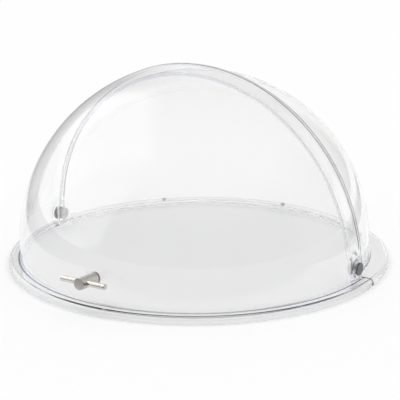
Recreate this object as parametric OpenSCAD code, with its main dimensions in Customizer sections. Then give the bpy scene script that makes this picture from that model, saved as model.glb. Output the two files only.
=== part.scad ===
// Roll-top buffet cover: a clear front dome that turns up and back over a fixed rear dome.
// The origin is the centre of the base circle on the table, +Z up, the handle towards -Y.
// Both domes are parts of spheres about the middle of the pivot axis, which runs along X.

/* [Covers] */
// Diameter over the flange
flange_d = 440; // [400:1:480]
// Wall thickness of both domes
wall_t = 3.2; // [2.6:0.1:3.8]
// Width of the front flange outside the front dome
front_ledge = 13; // [12:0.5:16]
// Radial gap between the two domes
cover_gap = 5.8; // [5.2:0.1:7]
// Distance of the rear dome's front edge ahead of the pivot axis
rear_edge = 9; // [8.5:0.1:11]
// Forward lean of both edges, in degrees
edge_lean = 1.7; // [0:0.1:3]

/* [Flange] */
// Height of the flange's top over the table
flange_h = 8.6; // [7.6:0.2:10]
// Thickness of the flange and of its turned-down lip
flange_t = 3; // [2.4:0.1:3.6]
// Radius of the rounded rim
rim_r = 5; // [4:0.2:6]
// Fillet where a dome runs into its flange
root_r = 3; // [2:0.2:4]
// Distance of the joint in the flange behind the pivot axis
split_y = 11.3; // [10:0.1:13]
// Gap in that joint
split_gap = 1; // [0.6:0.1:2]
// Room under the swinging corner of the front flange
swing_room = 1.1; // [0.8:0.1:3]

/* [Pivots] */
// Height of the pivot axis over the flange's top
pivot_rise = 12.9; // [11:0.1:15]
// Diameter of the flat pad round the pivot on the front dome
pad_d = 28.8; // [22:0.2:32]
// Height of that pad above the dome's pole
pad_proud = 0.2; // [0.1:0.1:1]
// Diameter of the raised boss round the pivot on the rear dome
boss_d = 28; // [24:0.5:30]
// Height of that boss above the dome's pole
boss_proud = 2.4; // [1.6:0.1:2.6]
// Diameter of the pivot's two round heads
head_d = 14.6; // [11:0.2:14.8]
// Thickness of a head
head_t = 1.9; // [1.4:0.1:2.2]
// Diameter of the barrel that the front dome turns on
barrel_d = 7; // [6:0.1:8]
// Diameter of the screw in the barrel
pivot_screw_d = 4; // [3:0.1:4.4]
// Diameter of the spacer between the domes
spacer_d = 12; // [10:0.2:14]
// Radial running clearance on the barrel
run_clear = 0.06; // [0.02:0.01:0.1]

/* [Handle] */
// Angle of the handle above the pivot axis, in degrees
handle_rise = 4; // [3:0.1:12]
// Diameter of the handle's post
post_d = 13.5; // [11:0.5:16]
// Length of the post outside the dome
post_l = 26; // [22:0.5:34]
// Diameter of the cross bar
bar_d = 6.5; // [5:0.1:8]
// Length of the cross bar
bar_l = 56.5; // [44:0.5:80]
// Distance of the bar's axis from the post's outer face
bar_inset = 8; // [6:0.1:10]
// Diameter of the screw that holds the post
handle_screw_d = 5; // [4:0.1:6]
// Diameter of the washer inside the dome
washer_d = 14; // [12:0.5:16]

/* [Stops] */
// Dip of the opened front dome's edge below level, in degrees
stop_dip = 0.3; // [0:0.1:1]
// Diameter of a stop bumper
bumper_d = 5; // [4:0.1:7]
// Height of a stop bumper above the flange
bumper_h = 3.9; // [3:0.1:5]
// Number of stop bumpers on the rear flange
bumper_count = 3; // [1:1:5]
// Angle between two neighbouring bumpers, in degrees
bumper_pitch = 45; // [25:1:45]

/* [Hidden] */
$fn = 144;
clear_color = [0.86, 0.89, 0.95, 0.45];
steel_color = [0.72, 0.71, 0.69];
spacer_color = [0.22, 0.22, 0.24];
bumper_color = [0.62, 0.63, 0.66];

// Overrun of every cut, and the depth by which joined shapes run into each other
overrun = 1;
merge = 0.4;
// Chamfer on turned metal edges, and the flat gap between faces that slide or seat
chamfer = 0.4;
face_clear = 0.1;
// Share of a fillet's radius by which its arc dips into its neighbours
dip_share = 0.01;

// Spheres and radii of the shells
flange_r = flange_d / 2;
reach = flange_d;
front_r = flange_r - front_ledge;
rear_r = front_r - wall_t - cover_gap;
underside = flange_h - flange_t;
pivot_h = flange_h + pivot_rise;

// Arc that the front flange's corner keeps to, and the arc of the rear dome's ear
swing_r = pivot_h - swing_room;
ear_lift = 1;
ear_r = pivot_h - underside - ear_lift;

// Stations along X of the pivot's stack, from the inside out
rear_face = rear_r + boss_proud;
rear_seat = rear_face - wall_t;
land_proud = 0.6;
front_land = front_r - wall_t - land_proud;
pad_face = front_r + pad_proud;
land_d = spacer_d + 2 * wall_t;
recess_d = boss_d - merge;
recess_flare = wall_t;
barrel_gap = merge;
thread_depth = barrel_d;
screw_reach = thread_depth - overrun;
slot_share = 0.6;
slot_w = slot_share * head_t;
slot_depth = head_t / 2;

// Stations along the handle's own axis, from the middle of the pivot axis
handle_hole_clear = 0.2;
post_foot = front_r + face_clear / 2;
post_face = front_r + post_l;
bar_axis = post_face - bar_inset;
thread_l = post_l / 2 - bar_d / 2;
washer_t = 1;
washer_face = sqrt(pow(front_r - wall_t, 2) - pow(washer_d / 2, 2)) - face_clear / 2;
screw_seat = washer_face - washer_t;
screw_head_share = 1.75;
socket_share = 0.65;
screw_head_d = screw_head_share * handle_screw_d;
screw_head_h = handle_screw_d / 2;
socket_d = socket_share * handle_screw_d;

// The opened front dome has turned by 90 degrees, its lean and its dip, and its edge lies just over the
// stop bumpers, which sets the distance of that edge behind the pivot axis
bumper_gap = 0.3;
stop_fall = pivot_rise - bumper_h - bumper_gap;
front_edge = front_r * sin(asin(stop_fall / front_r) - stop_dip);
bumper_ring_r = front_r - wall_t;

// Round section of a dome, from the flange's underside up
module dome_section(dome_r) {
    intersection() {
        difference() {
            translate([0, pivot_h]) circle(dome_r);
            translate([0, pivot_h]) circle(dome_r - wall_t);
        }
        translate([0, underside]) square([reach, reach]);
    }
}

// Rounded quarter of the rim, between the flange and its lip
module rim_section() {
    translate([flange_r - rim_r, flange_h - rim_r]) intersection() {
        difference() {
            circle(rim_r);
            circle(rim_r - flange_t);
        }
        square([rim_r, rim_r]);
    }
}

// Fillet between a dome and the top of its flange; its arc dips a little into both
module root_section(dome_r) {
    dip = dip_share * root_r;
    fillet_z = flange_h + root_r - dip;
    fillet_x = sqrt(pow(dome_r + root_r - dip, 2) - pow(pivot_h - fillet_z, 2));
    foot_x = sqrt(pow(dome_r, 2) - pow(pivot_rise, 2));
    difference() {
        polygon([
            [foot_x - merge, flange_h - merge],
            [fillet_x, flange_h - merge],
            [fillet_x, flange_h],
            [foot_x, fillet_z],
            [foot_x - merge, fillet_z]
        ]);
        translate([fillet_x, fillet_z]) circle(root_r);
    }
}

// Whole section of a cover: dome, fillet, flange, rim and lip
module cover_section(dome_r) {
    plate_x = dome_r - wall_t / 2;
    dome_section(dome_r);
    root_section(dome_r);
    rim_section();
    translate([plate_x, underside]) square([flange_r - rim_r - plate_x, flange_t]);
    translate([flange_r - flange_t, 0]) square([flange_t, flange_h - rim_r]);
}

// Full round cover, before it is cut to its half
module cover_round(dome_r) {
    rotate_extrude() cover_section(dome_r);
}

// Moves its children onto one pivot: side is 1 on the right and -1 on the left, +Z points outwards
module at_pivot(side) {
    translate([0, 0, pivot_h]) rotate([0, side * 90, 0]) children();
}

// Moves its children onto the handle's axis, +Z pointing out of the dome
module at_handle() {
    translate([0, 0, pivot_h]) rotate([90 - handle_rise, 0, 0]) children();
}

// Disc along +Z from one station to the next
module disc(from, to, diameter) {
    translate([0, 0, from]) cylinder(h = to - from, d = diameter);
}

// Turned disc whose edge is chamfered at the upper station
module turned_disc(from, to, diameter) {
    edge = diameter / 2;
    rotate_extrude() polygon([
        [0, from],
        [edge, from],
        [edge, to - chamfer],
        [edge - chamfer, to],
        [0, to]
    ]);
}

// Half space on the front side of a leaning plane through y, when front is 1, or behind it
module side_of_edge(y, front) {
    shift = front == 1 ? y - 2 * reach : y;
    translate([0, 0, pivot_h]) rotate([edge_lean, 0, 0])
        translate([-reach, shift, -reach]) cube([2 * reach, 2 * reach, 2 * reach]);
}

// Slab of the flange's height between two places along Y
module flange_slab(from, to) {
    translate([-reach, from, -overrun]) cube([2 * reach, to - from, flange_h + overrun]);
}

// Space below the axis and beyond an arc about it, on one side: keeps a swinging corner off the table
module outside_arc(arc_r, side) {
    difference() {
        translate([-reach, side == 1 ? 0 : -reach, -overrun])
            cube([2 * reach, reach, pivot_h + overrun]);
        translate([-reach - overrun, 0, pivot_h]) rotate([0, 90, 0])
            cylinder(h = 2 * (reach + overrun), r = arc_r);
    }
}

module front_cover() {
    color(clear_color) difference() {
        union() {
            intersection() {
                cover_round(front_r);
                union() {
                    side_of_edge(front_edge, 1);
                    flange_slab(-reach, split_y);
                }
            }
            intersection() {
                for (side = [-1, 1]) at_pivot(side) {
                    disc(front_r - wall_t + merge, pad_face, pad_d);
                    disc(front_land, front_r - wall_t + merge, land_d);
                }
                side_of_edge(front_edge, 1);
            }
        }
        outside_arc(swing_r, 1);
        for (side = [-1, 1]) at_pivot(side)
            disc(front_land - overrun, pad_face + overrun, barrel_d + 2 * run_clear);
        at_handle()
            disc(front_r - 2 * wall_t, front_r + overrun, handle_screw_d + 2 * handle_hole_clear);
    }
}

// Boss that carries a pivot on the rear dome, with a flared recess inside
module rear_boss(side) {
    at_pivot(side) translate([0, 0, rear_r - wall_t / 2])
        cylinder(h = rear_face - rear_r + wall_t / 2, d1 = boss_d + wall_t + 2 * boss_proud, d2 = boss_d);
}

module rear_recess(side) {
    at_pivot(side) translate([0, 0, rear_seat - 2 * wall_t])
        cylinder(h = 2 * wall_t, d1 = recess_d + 4 * recess_flare, d2 = recess_d);
}

module rear_cover() {
    color(clear_color) difference() {
        union() {
            intersection() {
                cover_round(rear_r);
                side_of_edge(-rear_edge, 0);
            }
            intersection() {
                for (side = [-1, 1]) rear_boss(side);
                side_of_edge(-rear_edge, 0);
            }
        }
        for (side = [-1, 1]) {
            rear_recess(side);
            at_pivot(side)
                disc(rear_seat - overrun, rear_face + overrun, barrel_d + 2 * run_clear);
        }
        outside_arc(ear_r, -1);
        ear_underside();
        flange_front();
    }
}

// Room below the rear dome's ear, between its arc and the flange
module ear_underside() {
    flange_end = split_y + split_gap;
    translate([-reach, -overrun, -overrun])
        cube([2 * reach, flange_end + overrun, pivot_h - ear_r + overrun]);
}

// The rear flange ahead of the joint, outside the ear
module flange_front() {
    flange_end = split_y + split_gap;
    for (side = [-1, 1]) at_pivot(side)
        translate([-pivot_h, -reach, rear_face + face_clear])
            cube([2 * pivot_h, reach + flange_end, reach]);
}

module pivot_barrel(side) {
    color(steel_color) at_pivot(side) difference() {
        union() {
            disc(rear_seat + barrel_gap, pad_face + face_clear + merge, barrel_d);
            turned_disc(pad_face + face_clear, pad_face + face_clear + head_t, head_d);
        }
        disc(rear_seat, rear_seat + barrel_gap + thread_depth, pivot_screw_d);
    }
}

module pivot_screw(side) {
    color(steel_color) at_pivot(side) difference() {
        union() {
            mirror([0, 0, 1]) turned_disc(-rear_seat, head_t - rear_seat, head_d);
            disc(rear_seat - merge, rear_seat + barrel_gap + screw_reach, pivot_screw_d - 2 * run_clear);
        }
        translate([-slot_w / 2, -head_d, rear_seat - head_t - overrun])
            cube([slot_w, 2 * head_d, overrun + slot_depth]);
    }
}

module pivot_spacer(side) {
    color(spacer_color) at_pivot(side) difference() {
        disc(rear_face, front_land - face_clear, spacer_d);
        disc(rear_face - overrun, front_land + overrun, barrel_d + 2 * run_clear);
    }
}

module pivot_barrel_left() { pivot_barrel(-1); }
module pivot_barrel_right() { pivot_barrel(1); }
module pivot_screw_left() { pivot_screw(-1); }
module pivot_screw_right() { pivot_screw(1); }
module pivot_spacer_left() { pivot_spacer(-1); }
module pivot_spacer_right() { pivot_spacer(1); }

// Bar lying across the handle's post, wider by twice the given room
module cross_bar(length, room) {
    translate([-length / 2, 0, bar_axis]) rotate([0, 90, 0])
        cylinder(h = length, d = bar_d + 2 * room);
}

module handle_post() {
    color(steel_color) at_handle() difference() {
        turned_disc(post_foot, post_face, post_d);
        cross_bar(2 * post_d, run_clear);
        disc(post_foot - overrun, post_foot + thread_l, handle_screw_d);
    }
}

module handle_bar() {
    color(steel_color) at_handle() union() {
        cross_bar(bar_l - 2 * chamfer, 0);
        for (side = [-1, 1])
            translate([0, 0, bar_axis]) rotate([0, side * 90, 0])
                turned_disc(bar_l / 4, bar_l / 2, bar_d);
    }
}

module handle_screw() {
    color(steel_color) at_handle() difference() {
        union() {
            disc(screw_seat - screw_head_h, screw_seat, screw_head_d);
            disc(screw_seat - merge, post_foot + thread_l - overrun, handle_screw_d - 2 * run_clear);
        }
        translate([0, 0, screw_seat - screw_head_h - overrun])
            cylinder(h = overrun + screw_head_h / 2, d = socket_d, $fn = 6);
    }
}

module handle_washer() {
    color(steel_color) at_handle() difference() {
        disc(screw_seat, washer_face, washer_d);
        disc(screw_seat - overrun, washer_face + overrun, handle_screw_d + 2 * handle_hole_clear);
    }
}

module stop_bumpers() {
    color(bumper_color)
        for (i = [0 : bumper_count - 1])
            rotate(90 + (i - (bumper_count - 1) / 2) * bumper_pitch)
                translate([bumper_ring_r, 0, 0])
                    turned_disc(flange_h, flange_h + bumper_h, bumper_d);
}

front_cover();
rear_cover();
pivot_barrel_left();
pivot_barrel_right();
pivot_screw_left();
pivot_screw_right();
pivot_spacer_left();
pivot_spacer_right();
handle_post();
handle_bar();
handle_screw();
handle_washer();
stop_bumpers();
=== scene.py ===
import math

import bpy
import numpy as np
from mathutils import Matrix, Vector, kdtree
from mathutils.geometry import delaunay_2d_cdt


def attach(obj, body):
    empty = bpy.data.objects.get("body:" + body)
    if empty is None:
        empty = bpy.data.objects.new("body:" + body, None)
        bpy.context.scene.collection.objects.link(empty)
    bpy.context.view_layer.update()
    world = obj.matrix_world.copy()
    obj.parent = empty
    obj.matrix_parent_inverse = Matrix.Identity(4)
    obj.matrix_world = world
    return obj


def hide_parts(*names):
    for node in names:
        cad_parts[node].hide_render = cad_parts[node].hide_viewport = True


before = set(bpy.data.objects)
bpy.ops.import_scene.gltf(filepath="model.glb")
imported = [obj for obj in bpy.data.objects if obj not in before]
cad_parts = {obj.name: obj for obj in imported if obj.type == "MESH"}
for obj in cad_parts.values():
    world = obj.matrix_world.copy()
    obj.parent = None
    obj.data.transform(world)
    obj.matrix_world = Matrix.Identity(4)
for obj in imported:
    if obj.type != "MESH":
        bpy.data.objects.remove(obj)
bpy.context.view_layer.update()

MM = 0.001

# Clear plastic: colour in the depth of the wall, and share of clearness on the skin and on the cut faces
COVER_IOR = 1.585
CLEAR_COLOR = (0.998, 0.998, 0.992, 1.0)
CLEAR_SHADOW = (0.935, 0.935, 0.935, 1.0)
# Painted shade: near-black colour painted on bands of the front dome's skin and on the walls across the
# flanges, in place of the dark lines that refraction draws there
PAINTED_SHADE_COLOR = (0.04, 0.04, 0.05, 1.0)
FRONT_DEPTH, REAR_DEPTH, DEPTH_DENSITY = (0.83, 0.84, 0.93, 1.0), (0.93, 0.935, 0.975, 1.0), 16.0
FRONT_CLARITY, REAR_CLARITY = (1.0, 1.0), (0.965, 0.4)
CUT_ROUGH, SKIN_ROUGH, SKIN_SPAN = (0.3, 0.42), (0.0, 0.012), (0.35, 0.75)
WAVE_STRENGTH, WAVE_HEIGHT = 0.002, 0.002
CLEAR_BOUNCES = 64

# Steel: colour and roughness of each piece, then the lathe's rings and the stains
BARREL, PIVOT_SCREW = ((0.16, 0.16, 0.17, 1.0), 0.2), ((0.72, 0.71, 0.7, 1.0), 0.32)
POST, BAR = ((0.66, 0.63, 0.59, 1.0), 0.14), ((0.74, 0.72, 0.68, 1.0), 0.06)
HANDLE_SCREW, WASHER = ((0.8, 0.79, 0.77, 1.0), 0.4), ((0.92, 0.91, 0.9, 1.0), 0.6)
BAR_PLACE = (0.0, -0.2244, 0.0372)
LATHE_PITCH, LATHE_STRENGTH, LATHE_HEIGHT, BAR_HEIGHT = 0.0004, 0.5, 0.00002, 0.000004
LATHE_ROUGH, STAIN_SHADE = (0.7, 1.3), 0.86

# Moulded plastic and rubber: colour and roughness, then grain and clouds
SPACER, BUMPER = ((0.3, 0.3, 0.32, 1.0), 0.5), ((0.42, 0.42, 0.44, 1.0), 0.35)
GRAIN_STRENGTH, GRAIN_HEIGHT, GRAIN_ROUGH, CLOUD_SHADE = 0.3, 0.00004, (0.8, 1.2), 0.8

# Noise of each material: scale and detail, and the middle of its range
WAVE, HAZE, LATHE, STAIN = (14.0, 2.0), (120.0, 6.0), (1.0 / LATHE_PITCH, 3.0), (260.0, 4.0)
GRAIN, CLOUD, FIBRE = (1800.0, 3.0), (300.0, 2.0), (400.0, 3.0)
NOISE_SPAN = (0.3, 0.7)

# Covers in millimetres, as in the part's source
WALL, PIVOT_H, LEAN = 3.2, 21.5, math.radians(1.7)
FLANGE_R, FLANGE_H, FLANGE_T, RIM_R, ROOT_R = 220.0, 8.6, 3.0, 5.0, 3.0
FRONT_R, FRONT_EDGE, FRONT_SPLIT, SWING_R = 207.0, 7.617, 11.3, 20.4
PAD_R, PAD_FACE, LAND_R, LAND_FACE = 14.4, 207.2, 9.2, 203.2
REAR_R, REAR_EDGE, REAR_SPLIT, EAR_R = 198.0, 9.0, 12.3, 14.9
BOSS_R, BOSS_FACE, RECESS_R, RECESS_FACE, EAR_FACE = 14.0, 200.4, 13.8, 197.2, 200.5
BORE_R, HANDLE_HOLE_R, HANDLE_RISE = 3.56, 2.7, math.radians(4)

# Moulded line beside the front dome's edge: rows as inset and depth, and the height where it starts;
# painted shade in dark bands that stand in for the dark lines that refraction draws: insets, the heights
# between which they fade, and what is left of them
GROOVE = ((1.2, 0.0), (5.2, 0.0), (5.5, 0.1), (5.75, 0.14), (6.0, 0.1), (6.3, 0.0))
GROOVE_FOOT, GROOVE_RISE = 42.0, 4.0
PAINTED_SHADE_BANDS, PAINTED_SHADE_SLACK = ((0.0, 1.2), (5.5, 6.0)), 0.05
PAINTED_SHADE_FADE, PAINTED_SHADE_TOP = (200.0, 221.0), 0.1

# Meshes of the covers: steps, rounded edges and gaps in millimetres, rows below the dome, points on borders
STEP, RIM_STEP, EDGE_STEP = 4.0, 2.0, 5.0
LIP_ROUND, FRONT_ROUND, REAR_ROUND, ROUND_RISE, ROUND_START = 0.5, 0.3, 0.3, 4.0, 0.2
ROUND_TURNS = [math.radians(15 * k) for k in range(7)]
FILLET_ROWS, PLATE_ROWS, RIM_ROWS, LIP_ROWS = 7, 4, 12, 3
STUB_POINTS, SWING_POINTS, JOINT_POINTS, EAR_POINTS, FOOT_POINTS = 2, 7, 8, 3, 8
BORE_POINTS, HANDLE_POINTS, RING_POINTS, LAND_POINTS, LEAST_POINTS = 28, 24, 96, 64, 6
PAD_BLEND, LAND_BLEND, BOSS_BLEND, BOSS_FOOT_R = 0.3, 0.2, 0.1, 17.1
RING_GAP, GRID_GAP, EAR_GAP, FOOT_GAP_SHARE = 0.5, 0.3, 0.6, 0.4
DOME_ROOM_SHARE, RIM_ROOM_SHARE, DOME_END = 0.55, 0.4, 1.0
SECTION_POINTS, SHARP_EDGE = 4000, math.radians(40)
SECTION_SHARES = np.linspace(0, 1, SECTION_POINTS)
FAR, HAIR, SLIVER = 1000.0, 0.01, 1e-6

UNDERSIDE = FLANGE_H - FLANGE_T
EDGE_AXIS = np.array((0.0, math.cos(LEAN), math.sin(LEAN)))
EDGE_UP = np.array((0.0, -math.sin(LEAN), math.cos(LEAN)))

# Camera, found from the base circle, the pivots and the handle in the photograph
CAMERA_PLACE = Vector((0.88832, -1.40199, 0.56795))
CAMERA_AZIMUTH = math.radians(32.284)
CAMERA_ELEVATION = math.radians(16.746)
CAMERA_ROLL = math.radians(-0.505)
CAMERA_LENS = 135.0
CAMERA_SENSOR = 36.0
CAMERA_CLIP = (0.05, 60.0)

# Studio: light levels, and the share of a direction that is up, or towards the camera, where they change
EVEN_LIGHT, DIM, CEILING, CEILING_RISE = 1.35, 0.07, 0.8, (0.3, 0.8)
THROUGH_TOP, THROUGH_RISE = 0.5, (0.2, 0.7)
NEAR_SIDE, NEAR_REACH = 0.4, (0.1, 0.6)

# Paper: size and borders in metres, each border as where it starts and ends, and the levels of its far part
PAPER_REACH, PAPER_SHADES = 12.0, (0.715, 0.725)
PAPER_OPEN, PAPER_GLOW = (0.2195, 0.228), 0.7
PAPER_LEFT, PAPER_RIGHT, PAPER_FRONT = (-0.44, -0.39), (0.42, 0.46, 1.0, 0.0), (0.22, 0.3, 1.0, 0.0)
PAPER_BACK, PAPER_WIDE = (-0.55, -0.3, 1.0, 0.0), (-0.85, -0.6, 1.0, 0.0)
FAR_LEVELS = (-0.3, 0.1, 0.4, 0.65)

# Panels that the gloss shows: level, softness, and corners as azimuth and elevation in degrees
LEFT_WALL = (1.1, 0.05, ((149, 14), (172, -2), (208, -8), (238, 5), (250, 45), (150, 50)))
SOFTBOX = (1.6, 0.1, ((147, 16), (200, 16), (250, 60), (146, 50)))
BACKDROP = (0.74, 0.1, ((94, -12), (131, -12), (130, 45), (94, 45)))
WINDOW = (1.0, 0.03, ((48, -4), (66, -4), (66, 14), (48, 14)))
RIGHT_WALL = (0.82, 0.1, ((52, 10), (86, 20), (86, 50), (52, 50)))
PANES = (LEFT_WALL, SOFTBOX, BACKDROP, WINDOW, RIGHT_WALL)


class Nodes:
    """Short way to write a node tree."""

    def __init__(self, tree):
        self.tree = tree
        tree.nodes.clear()

    def add(self, kind, **sockets):
        node = self.tree.nodes.new(kind)
        for name, value in sockets.items():
            self.set(node, name.replace("_", " "), value)
        return node

    def set(self, node, name, value):
        """Links or sets an input, named in words or as i and its number."""
        socket = node.inputs[int(name[1:])] if name[0] == "i" and name[1:].isdigit() else node.inputs[name]
        if isinstance(value, bpy.types.NodeSocket):
            self.tree.links.new(value, socket)
        else:
            socket.default_value = value

    def noise(self, place, scale, detail):
        return self.add("ShaderNodeTexNoise", Vector=place, Scale=scale, Detail=detail).outputs["Fac"]

    def attribute(self, name):
        node = self.add("ShaderNodeAttribute")
        node.attribute_name = name
        return node.outputs["Fac"]

    def math(self, operation, a, b=0.0, clamp=False):
        node = self.add("ShaderNodeMath", i0=a, i1=b)
        node.operation = operation
        node.use_clamp = clamp
        return node.outputs[0]

    def dot(self, a, b):
        node = self.add("ShaderNodeVectorMath", i0=a, i1=b)
        node.operation = "DOT_PRODUCT"
        return node.outputs["Value"]

    def ramp(self, value, low, high, to_low=0.0, to_high=1.0):
        node = self.add("ShaderNodeMapRange", Value=value)
        node.interpolation_type = "SMOOTHSTEP"
        for name, number in (("From Min", low), ("From Max", high), ("To Min", to_low), ("To Max", to_high)):
            node.inputs[name].default_value = number
        return node.outputs["Result"]

    def mix_color(self, factor, a, b):
        node = self.tree.nodes.new("ShaderNodeMix")
        node.data_type = "RGBA"
        for index, value in ((0, factor), (6, a), (7, b)):
            if isinstance(value, bpy.types.NodeSocket):
                self.tree.links.new(value, node.inputs[index])
            else:
                node.inputs[index].default_value = value
        return node.outputs[2]


def new_material(name):
    material = bpy.data.materials.new(name)
    material.use_nodes = True
    return material, Nodes(material.node_tree)


def surface(nodes, shader, volume=None):
    out = nodes.add("ShaderNodeOutputMaterial", Surface=shader)
    if volume is not None:
        nodes.set(out, "Volume", volume)


def clear_material(name, depth, clarity):
    """Clear plastic; light for the floor and the inside goes straight through it."""
    material, nodes = new_material(name)
    place = nodes.add("ShaderNodeTexCoord").outputs["Object"]
    wave, haze = nodes.noise(place, *WAVE), nodes.noise(place, *HAZE)
    bump = nodes.add("ShaderNodeBump", Strength=WAVE_STRENGTH, Distance=WAVE_HEIGHT, Height=wave)
    cut, line = nodes.attribute("cut"), nodes.attribute("line")
    matt = nodes.math("MULTIPLY", cut, nodes.ramp(haze, *NOISE_SPAN, *CUT_ROUGH))
    polish = nodes.ramp(haze, *SKIN_SPAN, *SKIN_ROUGH)
    clear = nodes.add(
        "ShaderNodeBsdfPrincipled",
        # Faces marked "line" get painted shade: base colour turns near-black in place of dark refracted lines
        Base_Color=nodes.mix_color(line, CLEAR_COLOR, PAINTED_SHADE_COLOR),
        Roughness=nodes.math("ADD", matt, polish),
        IOR=COVER_IOR,
        Transmission_Weight=nodes.ramp(cut, 0.0, 1.0, *clarity),
        Normal=bump.outputs["Normal"],
    )
    gap = nodes.add("ShaderNodeBsdfTransparent", Color=CLEAR_SHADOW)
    path = nodes.add("ShaderNodeLightPath")
    straight = nodes.math("MAXIMUM", path.outputs["Is Shadow Ray"], path.outputs["Is Diffuse Ray"])
    mix = nodes.add("ShaderNodeMixShader", Fac=straight, i1=clear.outputs[0], i2=gap.outputs[0])
    absorb = nodes.add("ShaderNodeVolumeAbsorption", Color=depth, Density=DEPTH_DENSITY)
    surface(nodes, mix.outputs[0], absorb.outputs[0])
    return material


def darker(color, share):
    return tuple(share * c for c in color[:3]) + (1.0,)


def turned_steel(name, color, rough, origin, axis, height=LATHE_HEIGHT):
    """Steel turned on a lathe: fine rings round the given axis."""
    material, nodes = new_material(name)
    place = nodes.add("ShaderNodeTexCoord").outputs["Object"]
    offset = nodes.add("ShaderNodeVectorMath", i0=place, i1=origin)
    offset.operation = "SUBTRACT"
    along = nodes.dot(offset.outputs[0], axis)
    across = nodes.add("ShaderNodeVectorMath", i0=offset.outputs[0], i1=axis)
    across.operation = "CROSS_PRODUCT"
    radius = nodes.add("ShaderNodeVectorMath", i0=across.outputs[0])
    radius.operation = "LENGTH"
    rings = nodes.add("ShaderNodeCombineXYZ", X=along, Y=radius.outputs["Value"])
    lathe, stain = nodes.noise(rings.outputs[0], *LATHE), nodes.noise(place, *STAIN)
    bump = nodes.add("ShaderNodeBump", Strength=LATHE_STRENGTH, Distance=height, Height=lathe)
    shade = nodes.mix_color(nodes.ramp(stain, *NOISE_SPAN), darker(color, STAIN_SHADE), color)
    steel = nodes.add(
        "ShaderNodeBsdfPrincipled",
        Base_Color=shade,
        Metallic=1.0,
        Roughness=nodes.ramp(lathe, *NOISE_SPAN, *(rough * share for share in LATHE_ROUGH)),
        Normal=bump.outputs["Normal"],
    )
    surface(nodes, steel.outputs[0])
    return material


def moulded(name, color, rough):
    """Plain moulded plastic or rubber with a fine grain."""
    material, nodes = new_material(name)
    place = nodes.add("ShaderNodeTexCoord").outputs["Object"]
    grain, cloud = nodes.noise(place, *GRAIN), nodes.noise(place, *CLOUD)
    bump = nodes.add("ShaderNodeBump", Strength=GRAIN_STRENGTH, Distance=GRAIN_HEIGHT, Height=grain)
    shade = nodes.mix_color(nodes.ramp(cloud, *NOISE_SPAN), darker(color, CLOUD_SHADE), color)
    body = nodes.add(
        "ShaderNodeBsdfPrincipled",
        Base_Color=shade,
        Roughness=nodes.ramp(grain, *NOISE_SPAN, *(rough * share for share in GRAIN_ROUGH)),
        Normal=bump.outputs["Normal"],
    )
    surface(nodes, body.outputs[0])
    return material


def dress(material, *names):
    for name in names:
        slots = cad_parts[name].data.materials
        slots.clear()
        slots.append(material)


def link(obj):
    bpy.context.scene.collection.objects.link(obj)
    return obj


def arc(x, z, radius, start, end, face):
    """Points of an arc in a section, and the way that its face looks."""
    angle = start + (end - start) * SECTION_SHARES
    way = np.array((np.cos(angle), np.sin(angle)))
    return np.array([[x], [z]]) + radius * way, face * way


def straight(x0, z0, x1, z1, way):
    """Points of a straight stretch in a section, and the way that its face looks."""
    line = np.array((x0 + (x1 - x0) * SECTION_SHARES, z0 + (z1 - z0) * SECTION_SHARES))
    return line, np.outer(way, np.ones(SECTION_POINTS))


class Section:
    """Outer and inner line of a cover's section, by the distance along the outer one from the top."""

    def __init__(self, dome_r):
        self.dome_r, self.inner_r = dome_r, dome_r - WALL
        fillet_z = FLANGE_H + ROOT_R
        fillet_x = math.sqrt((dome_r + ROOT_R) ** 2 - (PIVOT_H - fillet_z) ** 2)
        self.turn = math.atan2(fillet_x, fillet_z - PIVOT_H)
        foot = self.foot_angle(UNDERSIDE)
        foot_x = self.inner_r * math.sin(foot)
        rim_x, rim_z, up = FLANGE_R - RIM_R, FLANGE_H - RIM_R, math.pi / 2
        lip_x, lip_in = FLANGE_R, FLANGE_R - FLANGE_T
        outer = (
            arc(0, PIVOT_H, dome_r, up, up - self.turn, 1),
            arc(fillet_x, fillet_z, ROOT_R, 3 * up - self.turn, 3 * up, -1),
            straight(fillet_x, FLANGE_H, rim_x, FLANGE_H, (0, 1)),
            arc(rim_x, rim_z, RIM_R, up, 0, 1),
            straight(lip_x, rim_z, lip_x, 0, (1, 0)),
        )
        inner = (
            arc(0, PIVOT_H, self.inner_r, up, up - self.turn, -1),
            arc(0, PIVOT_H, self.inner_r, up - self.turn, up - foot, -1),
            straight(foot_x, UNDERSIDE, rim_x, UNDERSIDE, (0, -1)),
            arc(rim_x, rim_z, RIM_R - FLANGE_T, up, 0, -1),
            straight(lip_in, rim_z, lip_in, 0, (-1, 0)),
        )
        lengths = np.array((dome_r * self.turn, ROOT_R * self.turn, rim_x - fillet_x, RIM_R * up, rim_z))
        self.ends = np.cumsum(lengths)
        self.starts = self.ends - lengths
        spans = zip(self.starts, lengths)
        self.s = np.concatenate([start + length * SECTION_SHARES for start, length in spans])
        self.outer, self.outer_way = (np.hstack(part) for part in zip(*outer))
        self.inner, self.inner_way = (np.hstack(part) for part in zip(*inner))

    def foot_angle(self, z):
        return math.acos((z - PIVOT_H) / self.inner_r)

    def at(self, line, s):
        return np.interp(s, self.s, line[0]), np.interp(s, self.s, line[1])

    def points(self, line, s, a):
        r, z = self.at(line, s)
        return np.stack((r * np.cos(a), r * np.sin(a), z), axis=-1)

    def station(self, z):
        """Distance along the outer line at a height under the dome's widest place."""
        low = self.s > self.dome_r * math.pi / 2
        return np.interp(-np.asarray(z), -self.outer[1][low], self.s[low])

    def side(self, s, y):
        """Station and angle on the right half at a distance along Y."""
        return s, np.arcsin(y / self.at(self.outer, s)[0])


def edge_height(points):
    return (points - (0, 0, PIVOT_H)) @ EDGE_AXIS


def edge_y(offset, z):
    return (offset - (z - PIVOT_H) * EDGE_AXIS[2]) / EDGE_AXIS[1]


def on_dome(section, points):
    """Stations and angles of points on the outer sphere."""
    s = section.dome_r * np.arccos((points[:, 2] - PIVOT_H) / section.dome_r)
    return np.stack((s, np.arctan2(points[:, 1], points[:, 0])), axis=-1)


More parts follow.
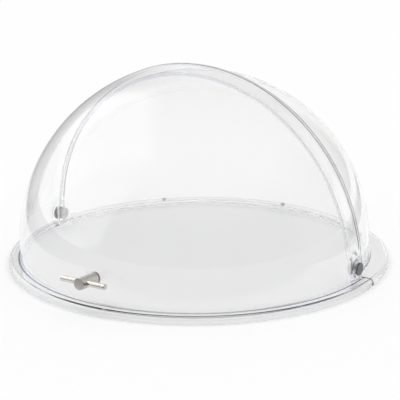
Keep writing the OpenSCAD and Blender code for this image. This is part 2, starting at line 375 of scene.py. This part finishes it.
def edge_line(section, offset):
    """Edge of a dome from its right foot over the top to its left foot."""
    ring = math.sqrt(section.dome_r**2 - offset**2)
    foot_z = section.at(section.outer, section.ends[0])[1] - PIVOT_H
    start = math.asin((foot_z - offset * EDGE_AXIS[2]) / (ring * EDGE_UP[2]))
    t = np.linspace(start, math.pi - start, 2 * int(ring * math.pi / EDGE_STEP) + 1)[:, None]
    centre = np.array((0, 0, PIVOT_H)) + offset * EDGE_AXIS
    return on_dome(section, centre + ring * (np.cos(t) * (1, 0, 0) + np.sin(t) * EDGE_UP))


def pivot_ring(section, radius, count):
    """Ring round the right pivot on the outer sphere."""
    t = np.linspace(0, 2 * math.pi, count, endpoint=False)
    y, z = radius * np.cos(t), radius * np.sin(t)
    x = np.sqrt(section.dome_r**2 - y**2 - z**2)
    return on_dome(section, np.stack((x, y, z + PIVOT_H), axis=-1))


def handle_ring(section, count):
    t = np.linspace(0, 2 * math.pi, count, endpoint=False)[:, None]
    out = np.array((0, -math.cos(HANDLE_RISE), math.sin(HANDLE_RISE)))
    up = np.array((0, math.sin(HANDLE_RISE), math.cos(HANDLE_RISE)))
    reach = math.sqrt(section.dome_r**2 - HANDLE_HOLE_R**2)
    ring = HANDLE_HOLE_R * (np.cos(t) * (1, 0, 0) + np.sin(t) * up)
    return on_dome(section, (0, 0, PIVOT_H) + reach * out + ring)


def mirrored(line):
    return np.stack((line[:, 0], math.pi - line[:, 1]), axis=-1)


def stations(section):
    """Rows of the mesh below the dome: fillet, flange, rim, and lip down to its rounded foot."""
    dome, root, plate, rim, lip = section.ends
    spans = (
        (dome, root, FILLET_ROWS),
        (root, plate, PLATE_ROWS),
        (plate, rim, RIM_ROWS),
        (rim, lip - LIP_ROUND, LIP_ROWS),
    )
    return np.concatenate([np.linspace(*span, endpoint=False) for span in spans])


def round_steps(radius):
    """Inset, depth and lean of the lines on a rounded edge."""
    return [(radius * (1 - math.cos(t)), radius * (1 - math.sin(t)), math.cos(t)) for t in ROUND_TURNS]


class Sheet:
    """Points and lines of one cover, laid out flat by station and angle."""

    def __init__(self, section, side, offset):
        self.section, self.side, self.offset = section, side, offset
        self.s, self.a, self.depth, self.lean, self.groove = [], [], [], [], []
        self.lines, self.walls, self.tails = [], [], ()

    def add(self, line, depth=0.0, lean=0.0, groove=0.0):
        first = len(self.s)
        self.s += list(line[:, 0])
        self.a += list(line[:, 1])
        self.depth += list(np.broadcast_to(depth, len(line)))
        self.lean += list(np.broadcast_to(lean, len(line)))
        self.groove += list(np.broadcast_to(groove, len(line)))
        return list(range(first, first + len(line)))

    def join(self, index, closed=False, wall=False):
        pairs = list(zip(index, index[1:] + index[:1]))[: None if closed else -1]
        (self.walls if wall else self.lines).extend(pairs)


def front_tail(section):
    """Right border of the front cover below its dome: fillet, stub, joint in the flange, swing arc."""
    dome, root, plate, rim, lip = section.ends
    s = np.linspace(dome, root, FILLET_ROWS)[1:]
    z = section.at(section.outer, s)[1]
    root_a = section.side(root, edge_y(FRONT_EDGE, FLANGE_H))[1]
    stub_a = np.linspace(root_a, section.side(root, FRONT_SPLIT)[1], STUB_POINTS + 1)[1:]
    arc_y = np.linspace(FRONT_SPLIT, 0, SWING_POINTS)
    arc_s = section.station(PIVOT_H - np.sqrt(SWING_R**2 - arc_y**2))
    plate_s = np.linspace(root, plate, PLATE_ROWS + 1)[1:]
    rim_s = np.linspace(plate, arc_s[0], JOINT_POINTS)[1:-1]
    foot_s = np.array((lip - LIP_ROUND,))
    parts = (
        section.side(s, edge_y(FRONT_EDGE, z)),
        (np.full(STUB_POINTS, root), stub_a),
        section.side(np.concatenate((plate_s, rim_s)), FRONT_SPLIT),
        section.side(arc_s, arc_y),
        (foot_s, np.zeros(1)),
    )
    return np.hstack([np.array(p) for p in parts]).T


def rear_tail(section):
    """Right border of the rear cover below its dome: fillet, ear's arc, ear's foot, joint in the flange."""
    dome, root, plate, rim, lip = section.ends
    reach = math.sqrt(EAR_R**2 - REAR_EDGE**2)
    corner_z = PIVOT_H - (REAR_EDGE * EDGE_AXIS[2] + reach * EDGE_UP[2])
    fillet = slice(SECTION_POINTS, 2 * SECTION_POINTS)
    ear_s = float(np.interp(EAR_FACE, section.outer[0][fillet], section.s[fillet]))
    ear_z = float(section.at(section.outer, ear_s)[1])
    edge_s = np.linspace(dome, section.station(corner_z), EAR_POINTS + 1)[1:]
    edge_z = section.at(section.outer, edge_s)[1]
    arc_z = np.linspace(corner_z, ear_z, EAR_POINTS + 1)[1:]
    arc_y = -np.sqrt(EAR_R**2 - (arc_z - PIVOT_H) ** 2)
    ear_y = np.linspace(arc_y[-1], REAR_SPLIT, FOOT_POINTS + 1)[1:]
    plate_s = np.linspace(ear_s, plate, PLATE_ROWS + 1)[1:]
    rim_s = stations(section)[1 - RIM_ROWS - LIP_ROWS :]
    joint_s = np.concatenate((plate_s, rim_s, [lip - LIP_ROUND]))
    parts = (
        section.side(edge_s, edge_y(-REAR_EDGE, edge_z)),
        section.side(section.station(arc_z), arc_y),
        section.side(np.full(FOOT_POINTS, ear_s), ear_y),
        section.side(joint_s, REAR_SPLIT),
    )
    return np.hstack([np.array(p) for p in parts]).T


def inside_front(section, s, a):
    """Distance of points to the front cover's border, negative outside."""
    points = section.points(section.outer, s, a)
    y, z = points[:, 1], points[:, 2]
    swing = np.where(y > 0, SWING_R - np.hypot(y, z - PIVOT_H), FAR)
    return np.where(s < section.ends[1], FRONT_EDGE - edge_height(points), np.minimum(FRONT_SPLIT - y, swing))


def inside_rear(section, s, a):
    points = section.points(section.outer, s, a)
    y, z = points[:, 1], points[:, 2]
    ear = np.where((y < 0) & (z < PIVOT_H), EAR_R - np.hypot(y, z - PIVOT_H), FAR)
    dome = np.minimum(edge_height(points) + REAR_EDGE, ear)
    level = s > section.ends[1] - EAR_GAP
    return np.where(level, y - REAR_SPLIT, dome)


def lattice(section):
    """Rows of points over the whole round cover."""
    dome_rows = np.arange(STEP, section.ends[0] - STEP / 2, STEP)
    around = int(2 * math.pi * FLANGE_R / RIM_STEP)
    grid = []
    for row, s in enumerate(dome_rows):
        count = max(LEAST_POINTS, round(2 * math.pi * float(section.at(section.outer, s)[0]) / STEP))
        a = (np.arange(count) + row % 2 / 2) * 2 * math.pi / count
        grid.append(np.stack((np.full(count, s), a), axis=-1))
    a = np.arange(around) * 2 * math.pi / around
    for s in stations(section):
        grid.append(np.stack((np.full(around, s), a), axis=-1))
    return np.concatenate(grid)


def foot_rows(section, right, left):
    """Rounded foot of the lip from one angle to another, as rows with depth and lean, the lowest first."""
    pitch = 2 * math.pi / int(2 * math.pi * FLANGE_R / RIM_STEP)
    low, high = min(right, left), max(right, left)
    first, last = math.ceil(low / pitch + FOOT_GAP_SHARE), math.floor(high / pitch - FOOT_GAP_SHARE)
    between = np.arange(first, last + 1) * pitch
    a = np.concatenate(([right], between if right < left else between[::-1], [left]))
    rows = []
    for inset, depth, lean in round_steps(LIP_ROUND):
        rows.append((np.stack((np.full(len(a), section.ends[-1] - inset), a), axis=-1), depth, lean))
    return rows


def flat(s, a):
    return np.stack((s * np.cos(a), s * np.sin(a)), axis=-1)


def lay_out(section, offset, side, edge_round, tail, foot_ends, inside, rings, holes, grooves=()):
    """Flat sheet of a cover: border, rounded edges, rings round the pivots, and the rows between."""
    sheet = Sheet(section, side, offset)
    edges = []
    for inset, depth, lean in round_steps(edge_round):
        line = edge_line(section, offset - side * inset)
        z = section.at(section.outer, line[:, 0])[1]
        share = np.clip((z - z[0]) / ROUND_RISE - ROUND_START, 0, 1)
        edges.append(sheet.add(line, depth * share, np.where(share < 1, np.nan, lean)))
    for inset, groove in grooves:
        line = edge_line(section, offset - side * inset)
        z = section.at(section.outer, line[:, 0])[1]
        share = np.clip((z - GROOVE_FOOT) / GROOVE_RISE, 0, 1)
        edges.append(sheet.add(line[share > 0], 0.0, np.nan, groove * share[share > 0]))
    right, left = sheet.add(tail), sheet.add(mirrored(tail))
    *low_rows, (top_line, _, _) = foot_rows(section, *foot_ends)
    lip = [sheet.add(*row) for row in low_rows]
    top = [right[-1]] + sheet.add(top_line[1:-1]) + [left[-1]]
    down_left, up_right = [row[-1] for row in lip[:0:-1]], [row[0] for row in lip[1:]]
    loop = edges[0] + left + down_left + lip[0][::-1] + up_right + right[::-1]
    sheet.join(loop, closed=True, wall=True)
    for ring in holes:
        sheet.join(sheet.add(ring), closed=True, wall=True)
    for line in edges[1:] + lip[1:] + [top]:
        sheet.join(line)
    for ring in rings:
        near = inside(section, ring[:, 0], ring[:, 1]) > edge_round + RING_GAP
        join_ring(sheet, ring, near & (ring[:, 0] < section.ends[0] - RING_GAP))
    fill(sheet, inside)
    sheet.tails = (right, left)
    return sheet


def join_ring(sheet, ring, near):
    """Adds a ring round a pivot, or the stretch of it that lies well inside the border."""
    if near.all():
        sheet.join(sheet.add(ring), closed=True)
        return
    cut = int(np.flatnonzero(~near & np.roll(near, -1))[0]) + 1
    sheet.join(sheet.add(np.roll(ring, -cut, axis=0)[np.roll(near, -cut)]))


def fill(sheet, inside):
    """Adds the rows of points that keep clear of every line."""
    section = sheet.section
    grid = lattice(section)
    grid = grid[inside(section, grid[:, 0], grid[:, 1]) > GRID_GAP]
    s, a = np.array(sheet.s), np.array(sheet.a)
    used = np.flatnonzero(s < section.ends[-1] - LIP_ROUND - HAIR)
    lines = section.points(section.outer, s, a)
    tree = kdtree.KDTree(len(used))
    for i in used:
        tree.insert(lines[i], int(i))
    tree.balance()
    places = section.points(section.outer, grid[:, 0], grid[:, 1])
    on_top = grid[:, 0] < section.ends[0] - DOME_END
    room = np.where(on_top, DOME_ROOM_SHARE * STEP, RIM_ROOM_SHARE * RIM_STEP)
    clear = np.array([tree.find(p)[2] > gap for p, gap in zip(places, room)])
    sheet.add(grid[clear])


def triangles(sheet, inside):
    """Triangles inside the border, by the sheet's own point numbers."""
    place = flat(np.array(sheet.s), np.array(sheet.a))
    edges = sheet.walls + sheet.lines
    verts, out_edges, faces, from_verts, from_edges, _ = delaunay_2d_cdt(
        [Vector(p) for p in place], edges, [], 0, SLIVER
    )
    name = []
    for i, origin in enumerate(from_verts):
        if origin:
            name.append(origin[0])
        else:
            u, v = verts[i]
            name.append(sheet.add(np.array([[math.hypot(u, v), math.atan2(v, u)]]))[0])
    shut = set()
    for edge, origin in zip(out_edges, from_edges):
        if any(k < len(sheet.walls) for k in origin):
            shut.add(frozenset(edge))
    beside = {}
    for k, face in enumerate(faces):
        for i, j in zip(face, face[1:] + face[:1]):
            beside.setdefault(frozenset((i, j)), []).append(k)
    middle = np.array([np.mean([verts[i] for i in face], axis=0) for face in faces])
    room = inside(sheet.section, np.hypot(*middle.T), np.arctan2(middle[:, 1], middle[:, 0]))
    todo = [int(np.argmax(room))]
    kept = set(todo)
    while todo:
        face = faces[todo.pop()]
        for i, j in zip(face, face[1:] + face[:1]):
            pair = frozenset((i, j))
            if pair in shut:
                continue
            for k in beside[pair]:
                if k not in kept:
                    kept.add(k)
                    todo.append(k)
    return [[name[i] for i in faces[k]] for k in sorted(kept)]


def lifted(points, x):
    """Points whose distance from the middle along X is changed."""
    return np.stack((np.copysign(x, points[:, 0]), points[:, 1], points[:, 2]), axis=-1)


def pivot_distance(points):
    return np.hypot(points[:, 1], points[:, 2] - PIVOT_H)


def front_faces(outer, inner):
    """Flat pad outside and flat land inside round each pivot."""
    x, ring = np.abs(outer[:, 0]), pivot_distance(outer)
    share = np.clip((PAD_R - ring) / PAD_BLEND + 0.5, 0, 1)
    outer = lifted(outer, x + share * np.maximum(0, PAD_FACE - x))
    x, ring = np.abs(inner[:, 0]), pivot_distance(inner)
    share = np.clip((LAND_R - ring) / LAND_BLEND + 0.5, 0, 1)
    inner = lifted(inner, x - share * np.maximum(0, x - LAND_FACE))
    return outer, inner


def rear_faces(outer, inner):
    """Conical boss outside and flared recess inside round each pivot."""
    near = pivot_distance(outer) < 2 * BOSS_R
    cone = BOSS_FACE - np.maximum(0, pivot_distance(outer) - BOSS_R)
    x = np.abs(outer[:, 0])
    outer = lifted(outer, np.where(near, np.maximum(x, cone), x))
    near = pivot_distance(inner) < 2 * BOSS_R
    cone = RECESS_FACE - np.maximum(0, pivot_distance(inner) - RECESS_R)
    x = np.abs(inner[:, 0])
    inner = lifted(inner, np.where(near, np.maximum(x, cone), x))
    return outer, inner


def ear_foot(y):
    """Height of the ear's lower side."""
    return PIVOT_H - np.sqrt(EAR_R**2 - np.clip(y, -EAR_R, 0) ** 2)


def inner_at(section, y, z, sign):
    """Point of the inner sphere at a distance along Y and a height."""
    x = np.sqrt(section.inner_r**2 - y**2 - (z - PIVOT_H) ** 2)
    return np.stack((sign * x, y, z), axis=-1)


def front_borders(sheet, outer, inner):
    """Moves the inner border under the dome's foot into place and gives the stub its level top."""
    middle = {}
    for tail, sign in zip(sheet.tails, (1, -1)):
        fillet, stub = tail[: FILLET_ROWS - 1], tail[FILLET_ROWS - 1 :][:STUB_POINTS]
        inner[fillet] = inner_at(sheet.section, outer[fillet, 1], outer[fillet, 2], sign)
        tops = inner_at(sheet.section, outer[stub, 1], outer[stub, 2], sign)
        middle.update(zip(stub, tops))
    return middle


def rear_borders(sheet, outer, inner):
    """Moves the inner border of the ear into place and gives the ear its flat foot."""
    section, middle = sheet.section, {}
    s, y = np.array(sheet.s), outer[:, 1]
    dome, root = section.ends[:2]
    ear = np.flatnonzero((s > dome) & (s < root) & (y < REAR_SPLIT - HAIR))
    low = np.arccos((ear_foot(y[ear]) - PIVOT_H) / section.inner_r)
    angle = section.turn + (s[ear] - dome) / (root - dome) * (low - section.turn)
    z = PIVOT_H + section.inner_r * np.cos(angle)
    inner[ear] = inner_at(section, y[ear], z, np.sign(outer[ear, 0]))
    for tail, sign in zip(sheet.tails, (1, -1)):
        edge, foot = tail[: 2 * EAR_POINTS], tail[2 * EAR_POINTS :][:FOOT_POINTS]
        inner[edge] = inner_at(section, y[edge], outer[edge, 2], sign)
        low = outer[foot].copy()
        low[:, 2] = ear_foot(y[foot])
        middle.update(zip(foot, low))
        foot = foot[:-1]
        inner[foot] = inner_at(section, y[foot], ear_foot(y[foot]), sign)
    return middle


def shell(name, sheet, tris, faces, borders, lines=()):
    """Closed mesh of a cover from its flat sheet."""
    section = sheet.section
    s, a, depth, groove = (np.array(row)[:, None] for row in (sheet.s, sheet.a, sheet.depth, sheet.groove))
    outer, inner, way = (
        section.points(line, s[:, 0], a[:, 0]) for line in (section.outer, section.inner, section.outer_way)
    )
    turned = inner.copy()
    dark = painted_shade_on_skin(sheet, outer, tris, lines)
    middle = borders(sheet, outer, inner)
    flush_out, flush_in = faces(outer, inner)
    plain_out, plain_in = unmoved(outer, flush_out), unmoved(turned, flush_in)
    outer, inner = flush_out - (depth + groove) * way, flush_in + depth * way
    verts, skin, walls, painted_shade_walls = stitch(sheet, tris, outer, inner, middle)

    mesh = bpy.data.meshes.new(name)
    mesh.from_pydata((verts * MM).tolist(), [], skin + walls)
    cut = np.arange(len(mesh.polygons)) >= len(skin)
    mesh.polygons.foreach_set("use_smooth", ~cut)
    mesh.set_sharp_from_angle(angle=SHARP_EDGE)
    mark(mesh, "cut", cut)
    # The "line" attribute carries painted shade: dark bands on the skin and dark walls across the flange
    mark(mesh, "line", dark + painted_shade_walls)
    brow = brows(sheet, way)
    upper = skin_normals(section, section.outer_way, sheet, brow, plain_out, tris)
    under = skin_normals(section, section.inner_way, sheet, brow, plain_in, tris)
    corners = np.concatenate((upper, under[:, ::-1])).reshape(-1, 3)
    normals = np.zeros((len(mesh.loops), 3))
    normals[: len(corners)] = corners
    mesh.normals_split_custom_set(normals.tolist())
    return mesh


def stitch(sheet, tris, outer, inner, middle):
    """Points of a cover, faces of its two skins and of the walls between them, and which walls get painted
    shade.
    """
    section, s = sheet.section, sheet.s
    used = sorted({i for tri in tris for i in tri})
    count = len(used)
    top = {i: k for k, i in enumerate(used)}
    low = {i: k + count for k, i in enumerate(used)}
    mid = {i: k + 2 * count for k, i in enumerate(i for i in middle if i in top)}
    bends = np.array([middle[i] for i in mid]).reshape(-1, 3)
    skin = [[top[i] for i in tri] for tri in tris] + [[low[i] for i in tri[::-1]] for tri in tris]
    walls, dark = [], []
    ways = {(i, j) for tri in tris for i, j in zip(tri, tri[1:] + tri[:1])}
    for i, j in sorted(ways):
        if (j, i) in ways:
            continue
        bend_i, bend_j = mid.get(i, low[i]), mid.get(j, low[j])
        walls.append([top[j], top[i], bend_i, bend_j])
        # Walls across the flange, rim and lip get painted shade
        dark.append(float(section.ends[1] - SLIVER < min(s[i], s[j]) < section.ends[4] - LIP_ROUND))
        rest = [bend_j, bend_i] + [low[k] for k in (i, j) if k in mid]
        if len(rest) > 2:
            walls.append(rest)
            dark.append(0.0)
    return np.concatenate((outer[used], inner[used], bends)), skin, walls, dark


def mark(mesh, name, values):
    """Writes one number for each face."""
    mesh.attributes.new(name, "FLOAT", "FACE").data.foreach_set("value", np.array(values, dtype=float))


def brows(sheet, way):
    """Ways in which normals lean on rounded edges: past the dome's edge, or down at the foot of the lip."""
    lip = np.array(sheet.s) > sheet.section.ends[3]
    brow = np.where(lip[:, None], (0.0, 0.0, -1.0), sheet.side * EDGE_AXIS)
    brow = brow - (brow * way).sum(axis=1)[:, None] * way
    return brow / np.maximum(np.linalg.norm(brow, axis=1), SLIVER)[:, None]


def painted_shade_on_skin(sheet, outer, tris, lines):
    """Painted shade on the outer faces, in bands along the dome's edge and fading with height, then none for
    the inner ones.
    """
    inset = sheet.side * (sheet.offset - edge_height(outer))
    tris, low = np.array(tris), np.array(sheet.s) < sheet.section.ends[0]
    marked = np.zeros(len(tris), dtype=bool)
    for start, end in lines:
        band = low & (inset > start - PAINTED_SHADE_SLACK) & (inset < end + PAINTED_SHADE_SLACK)
        marked |= band[tris].all(axis=1)
    height = outer[:, 2][tris].mean(axis=1)
    return list(marked * np.interp(height, PAINTED_SHADE_FADE, (1.0, PAINTED_SHADE_TOP))) + [0.0] * len(tris)


def unmoved(before, after):
    return np.abs(before - after).max(axis=1) < SLIVER


def skin_normals(section, way, sheet, brow, plain, tris):
    """Exact normals at the corners of a skin's faces, zero where a face isn't a plain part of the section."""
    tris, s, a, lean = np.array(tris), np.array(sheet.s), np.array(sheet.a), np.array(sheet.lean)
    piece = np.searchsorted(section.ends, s[tris].mean(axis=1)).clip(max=len(section.ends) - 1)
    near = np.clip(s[tris], section.starts[piece, None] + SLIVER, section.ends[piece, None] - SLIVER)
    tilt = lean[tris][..., None]
    normal = section.points(way, near, a[tris]) * np.sqrt(np.maximum(0, 1 - tilt**2)) + brow[tris] * tilt
    exact = (plain & ~np.isnan(lean))[tris].all(axis=1)
    return np.where(exact[:, None, None], normal, 0.0)


def front_mesh():
    section = Section(FRONT_R)
    bore = pivot_ring(section, BORE_R, BORE_POINTS)
    rings = []
    for radius, blend, count in ((PAD_R, PAD_BLEND, RING_POINTS), (LAND_R, LAND_BLEND, LAND_POINTS)):
        rings += [pivot_ring(section, radius + side * blend / 2, count) for side in (1, -1)]
    rings += [mirrored(ring) for ring in rings]
    holes = [bore, mirrored(bore), handle_ring(section, HANDLE_POINTS)]
    borders = (front_tail(section), (0.0, -math.pi), inside_front, rings, holes, GROOVE)
    sheet = lay_out(section, FRONT_EDGE, 1, FRONT_ROUND, *borders)
    return shell("front_dome", sheet, triangles(sheet, inside_front), front_faces, front_borders, PAINTED_SHADE_BANDS)


def rear_mesh():
    section = Section(REAR_R)
    bore = pivot_ring(section, BORE_R, BORE_POINTS)
    rings = [pivot_ring(section, radius, RING_POINTS) for radius in (BOSS_R - BOSS_BLEND, BOSS_FOOT_R)]
    rings += [mirrored(ring) for ring in rings]
    tail = rear_tail(section)
    ends = (tail[-1, 1], math.pi - tail[-1, 1])
    borders = (tail, ends, inside_rear, rings, [bore, mirrored(bore)])
    sheet = lay_out(section, -REAR_EDGE, -1, REAR_ROUND, *borders)
    return shell("rear_dome", sheet, triangles(sheet, inside_rear), rear_faces, rear_borders)


def grey(level):
    return (level, level, level, 1.0)


def sky_way(azimuth, elevation):
    a, e = math.radians(azimuth), math.radians(elevation)
    return Vector((math.cos(a) * math.cos(e), math.sin(a) * math.cos(e), math.sin(e)))


def pane(nodes, way, corners, soft):
    """Share of a soft-edged panel round the studio in a direction."""
    ways = [sky_way(*corner) for corner in corners]
    middle = sum(ways, Vector())
    share = 1.0
    for one, two in zip(ways, ways[1:] + ways[:1]):
        edge = one.cross(two).normalized()
        across = nodes.dot(way, edge if edge.dot(middle) > 0 else -edge)
        share = nodes.math("MULTIPLY", share, nodes.ramp(across, -soft, soft))
    return share


def paper_shade(nodes, place, path):
    """Colour of the paper; mirrored in the domes, its far part is graded, and its sides and front end."""
    shade = nodes.mix_color(nodes.noise(place, *FIBRE), *(grey(level) for level in PAPER_SHADES))
    across = nodes.dot(place, (math.cos(CAMERA_AZIMUTH), math.sin(CAMERA_AZIMUTH), 0.0))
    ahead = nodes.dot(place, (math.sin(CAMERA_AZIMUTH), -math.cos(CAMERA_AZIMUTH), 0.0))
    gloss, glass = path.outputs["Is Glossy Ray"], path.outputs["Is Transmission Ray"]
    mirror = nodes.math("SUBTRACT", gloss, glass, clamp=True)
    inside = nodes.math("MULTIPLY", nodes.ramp(across, *PAPER_RIGHT), nodes.ramp(ahead, *PAPER_FRONT))
    inside = nodes.math("MAXIMUM", inside, nodes.ramp(ahead, *PAPER_WIDE))
    beyond = nodes.math("MULTIPLY", mirror, nodes.math("SUBTRACT", 1.0, inside))
    far = nodes.math("MULTIPLY", mirror, nodes.ramp(ahead, *PAPER_BACK))
    left = nodes.math("MULTIPLY", mirror, nodes.math("SUBTRACT", 1.0, nodes.ramp(across, *PAPER_LEFT)))
    shade = nodes.mix_color(far, shade, nodes.ramp(across, *FAR_LEVELS))
    shade = nodes.mix_color(beyond, shade, grey(DIM))
    return nodes.mix_color(left, shade, grey(DIM))


def paper_floor():
    """White paper; past the rim it glows for the camera and through glass, and the shadow stays on it."""
    material, nodes = new_material("floor_paper")
    place = nodes.add("ShaderNodeTexCoord").outputs["Object"]
    path = nodes.add("ShaderNodeLightPath")
    paper = nodes.add("ShaderNodeBsdfDiffuse", Color=paper_shade(nodes, place, path))
    glow = nodes.add("ShaderNodeEmission", Color=grey(1.0), Strength=1.0)
    reach = nodes.add("ShaderNodeVectorMath", i0=place)
    reach.operation = "LENGTH"
    seen = nodes.math("MAXIMUM", path.outputs["Is Camera Ray"], path.outputs["Is Transmission Ray"])
    open_floor = nodes.ramp(reach.outputs["Value"], *PAPER_OPEN)
    bright = nodes.math("MULTIPLY", nodes.math("MULTIPLY", seen, open_floor), PAPER_GLOW)
    mix = nodes.add("ShaderNodeMixShader", Fac=bright, i1=paper.outputs[0], i2=glow.outputs[0])
    surface(nodes, mix.outputs[0])
    mesh = bpy.data.meshes.new("floor")
    corners = [(x * PAPER_REACH, y * PAPER_REACH, 0.0) for x, y in ((-1, -1), (1, -1), (1, 1), (-1, 1))]
    mesh.from_pydata(corners, [], [(0, 1, 2, 3)])
    mesh.materials.append(material)
    link(bpy.data.objects.new("floor", mesh))


def studio():
    """Even light from all round; gloss shows soft panels in a dim room, glass shows the white backdrop."""
    world = bpy.data.worlds.new("studio")
    world.use_nodes = True
    bpy.context.scene.world = world
    nodes = Nodes(world.node_tree)
    path = nodes.add("ShaderNodeLightPath")
    way = nodes.add("ShaderNodeTexCoord").outputs["Generated"]
    height = nodes.add("ShaderNodeSeparateXYZ", Vector=way).outputs["Z"]
    gloss = nodes.mix_color(nodes.ramp(height, *CEILING_RISE), grey(DIM), grey(CEILING))
    for level, soft, corners in PANES:
        gloss = nodes.mix_color(pane(nodes, way, corners, soft), gloss, grey(level))
    through = nodes.mix_color(nodes.ramp(height, *THROUGH_RISE), grey(1.0), grey(THROUGH_TOP))
    near = nodes.dot(way, (math.sin(CAMERA_AZIMUTH), -math.cos(CAMERA_AZIMUTH), 0.0))
    through = nodes.mix_color(nodes.ramp(near, *NEAR_REACH), through, grey(NEAR_SIDE))
    color = nodes.mix_color(path.outputs["Is Glossy Ray"], grey(EVEN_LIGHT), gloss)
    color = nodes.mix_color(path.outputs["Is Transmission Ray"], color, through)
    color = nodes.mix_color(path.outputs["Is Camera Ray"], color, grey(1.0))
    back = nodes.add("ShaderNodeBackground", Color=color, Strength=1.0)
    nodes.add("ShaderNodeOutputWorld", Surface=back.outputs[0])


def light_paths():
    """Lets light run on inside the clear walls, as it does in real ones."""
    cycles = bpy.context.scene.cycles
    cycles.max_bounces = cycles.transmission_bounces = cycles.glossy_bounces = CLEAR_BOUNCES
    cycles.transparent_max_bounces = CLEAR_BOUNCES


def camera():
    data = bpy.data.cameras.new("camera")
    data.lens = CAMERA_LENS
    data.sensor_width = CAMERA_SENSOR
    data.clip_start, data.clip_end = CAMERA_CLIP
    obj = link(bpy.data.objects.new("camera", data))
    sin_a, cos_a = math.sin(CAMERA_AZIMUTH), math.cos(CAMERA_AZIMUTH)
    sin_e, cos_e = math.sin(CAMERA_ELEVATION), math.cos(CAMERA_ELEVATION)
    back = Vector((sin_a * cos_e, -cos_a * cos_e, sin_e))
    turn = (-back).to_track_quat("-Z", "Y").to_matrix().to_4x4()
    obj.matrix_world = Matrix.Translation(CAMERA_PLACE) @ turn @ Matrix.Rotation(CAMERA_ROLL, 4, "Z")
    bpy.context.scene.camera = obj


def cover(mesh, node, body, slot, depth, clarity):
    """Fine clear dome in place of its solid."""
    mesh.materials.append(clear_material(slot, depth, clarity))
    obj = link(bpy.data.objects.new(mesh.name, mesh))
    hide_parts(node)
    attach(obj, body)


def looks():
    cover(front_mesh(), "front_cover", "front", "front_clear", FRONT_DEPTH, FRONT_CLARITY)
    cover(rear_mesh(), "rear_cover", "rear", "rear_clear", REAR_DEPTH, REAR_CLARITY)
    pivot, across = (0.0, 0.0, PIVOT_H * MM), (1.0, 0.0, 0.0)
    ahead = (0.0, -math.cos(HANDLE_RISE), math.sin(HANDLE_RISE))
    barrel = turned_steel("pivot_steel", *BARREL, pivot, across)
    screw = turned_steel("pivot_screw_steel", *PIVOT_SCREW, pivot, across)
    for side in ("left", "right"):
        dress(barrel, "pivot_barrel_" + side)
        dress(screw, "pivot_screw_" + side)
    dress(turned_steel("handle_steel", *POST, pivot, ahead), "handle_post")
    dress(turned_steel("bar_steel", *BAR, BAR_PLACE, across, BAR_HEIGHT), "handle_bar")
    dress(turned_steel("screw_steel", *HANDLE_SCREW, pivot, ahead), "handle_screw")
    dress(turned_steel("washer_steel", *WASHER, pivot, ahead), "handle_washer")
    dress(moulded("spacer_nylon", *SPACER), "pivot_spacer_left", "pivot_spacer_right")
    dress(moulded("bumper_silicone", *BUMPER), "stop_bumpers")


bpy.context.scene.view_settings.view_transform = "Standard"
light_paths()
looks()
paper_floor()
studio()
camera()
